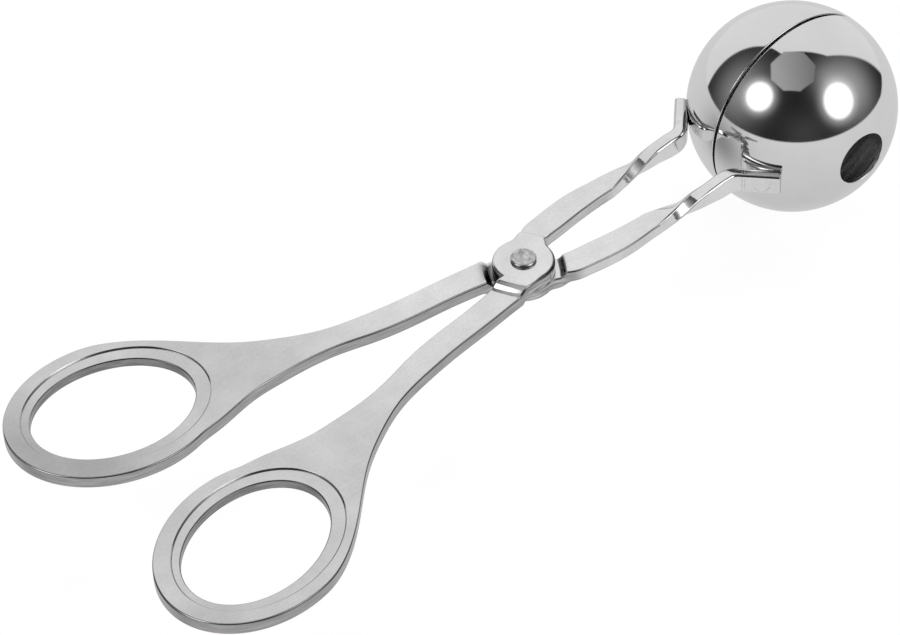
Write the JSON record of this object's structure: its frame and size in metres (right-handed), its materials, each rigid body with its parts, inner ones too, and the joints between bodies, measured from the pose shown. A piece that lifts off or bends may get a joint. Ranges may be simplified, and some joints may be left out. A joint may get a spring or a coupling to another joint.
{
  "type": "meatball tongs",
  "caption": "Scissor-action stainless steel tongs: crossed, riveted arms with finger loops carry the halves of a hollow vented ball that shapes meatballs.",
  "frame": {"origin": "middle of the closed tongs' bounding box, halfway between the flats of the arms and between the two handles", "axes": "+X from the finger loops to the ball, +Y to the left cup (the cup that the upper arm carries), +Z along the rivet, the flats of the arms level"},
  "size_m": [0.2064, 0.084, 0.045],
  "materials": {
    "arm_steel": "satin tumbled stainless steel with bright rounded edges",
    "cup_steel": "mirror-polished stainless steel outside, plain polished inside",
    "rivet_steel": "satin stainless steel, flat turned head"
  },
  "bodies": {
    "lower_half": {"lower_arm": "arm_steel", "right_cup": "cup_steel", "pivot_rivet": "rivet_steel"},
    "upper_half": {"upper_arm": "arm_steel", "left_cup": "cup_steel"}
  },
  "joints": [
    {"name": "pivot", "type": "hinge", "parent": "lower_half", "child": "upper_half", "pos_m": [0.00623, 0, 0], "axis": [0, 0, 1], "range_deg": [0, 50]}
  ]
}
